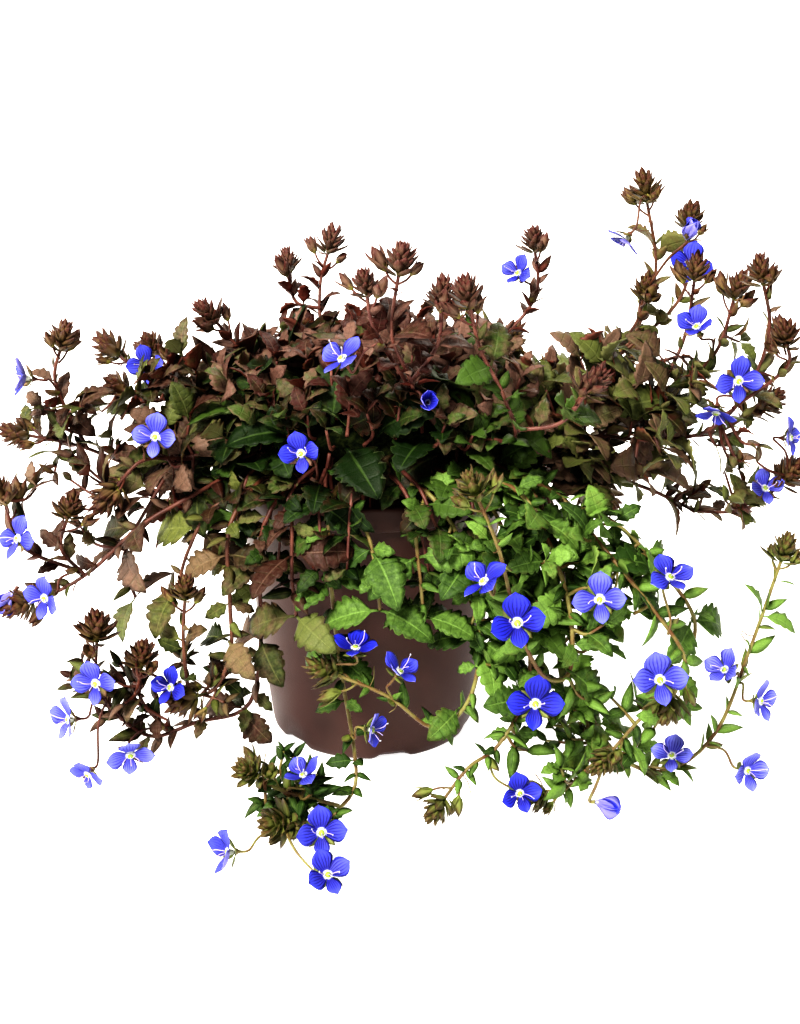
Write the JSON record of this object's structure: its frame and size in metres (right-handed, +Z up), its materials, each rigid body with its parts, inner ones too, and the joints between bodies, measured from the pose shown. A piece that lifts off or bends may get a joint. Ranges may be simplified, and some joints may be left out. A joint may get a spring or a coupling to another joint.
{
  "type": "potted georgia blue speedwell",
  "caption": "Round tapered nursery pot full of soil, with a dense leafy mound, trailing stems and small four-petalled blue blooms.",
  "frame": {"origin": "centre of the pot's flat base, on the surface that it stands on", "axes": "+Z up along the pot's axis, +X towards the plant's long right side, and -Y towards the viewer of the picture"},
  "size_m": [0.225, 0.1911, 0.1566],
  "materials": {
    "pot_plastic": "satin",
    "soil": "matte",
    "leaf_bronze": "satin",
    "leaf_moss": "satin",
    "leaf_deep": "satin",
    "leaf_fresh": "satin",
    "petal_blue": "satin"
  },
  "bodies": {
    "root": {"pot": "pot_plastic", "soil": "soil", "shoot_left_high": "leaf_bronze", "shoot_left_mid": "leaf_bronze", "shoot_left_hang": "leaf_moss", "shoot_left_low": "leaf_bronze", "shoot_front_left": "leaf_fresh", "shoot_front_mid": "leaf_fresh", "shoot_front_rise": "leaf_fresh", "shoot_front_right": "leaf_fresh", "shoot_floor_right": "leaf_moss", "shoot_right_long": "leaf_bronze", "shoot_right_top": "leaf_moss", "shoot_right_upper": "leaf_bronze", "shoot_mound": "leaf_deep", "shoot_back_left": "leaf_bronze", "shoot_back_mid": "leaf_deep", "shoot_back_right": "leaf_moss", "bloom_left_high_1": "petal_blue", "bloom_left_high_2": "petal_blue", "bloom_left_mid_1": "petal_blue", "bloom_left_mid_2": "petal_blue", "bloom_left_mid_3": "petal_blue", "bloom_left_hang_1": "petal_blue", "bloom_left_low_1": "petal_blue", "bloom_left_low_2": "petal_blue", "bloom_left_low_3": "petal_blue", "bloom_left_low_4": "petal_blue", "bloom_front_left_1": "petal_blue", "bloom_front_left_2": "petal_blue", "bloom_front_left_3": "petal_blue", "bloom_front_left_4": "petal_blue", "bloom_front_left_5": "petal_blue", "bloom_front_mid_1": "petal_blue", "bloom_front_mid_2": "petal_blue", "bloom_front_rise_1": "petal_blue", "bloom_front_rise_2": "petal_blue", "bloom_front_rise_3": "petal_blue", "bloom_front_rise_4": "petal_blue", "bloom_front_right_1": "petal_blue", "bloom_front_right_2": "petal_blue", "bloom_front_right_3": "petal_blue", "bloom_floor_right_1": "petal_blue", "bloom_floor_right_2": "petal_blue", "bloom_floor_right_3": "petal_blue", "bloom_floor_right_4": "petal_blue", "bloom_right_long_1": "petal_blue", "bloom_right_long_2": "petal_blue", "bloom_right_top_1": "petal_blue", "bloom_right_top_2": "petal_blue", "bloom_right_upper_1": "petal_blue", "bloom_right_upper_2": "petal_blue", "bloom_right_upper_3": "petal_blue", "bloom_mound_1": "petal_blue", "bloom_mound_2": "petal_blue", "bloom_mound_3": "petal_blue", "bloom_back_left_1": "petal_blue", "bloom_back_mid_1": "petal_blue", "bloom_back_right_1": "petal_blue"}
  },
  "joints": []
}
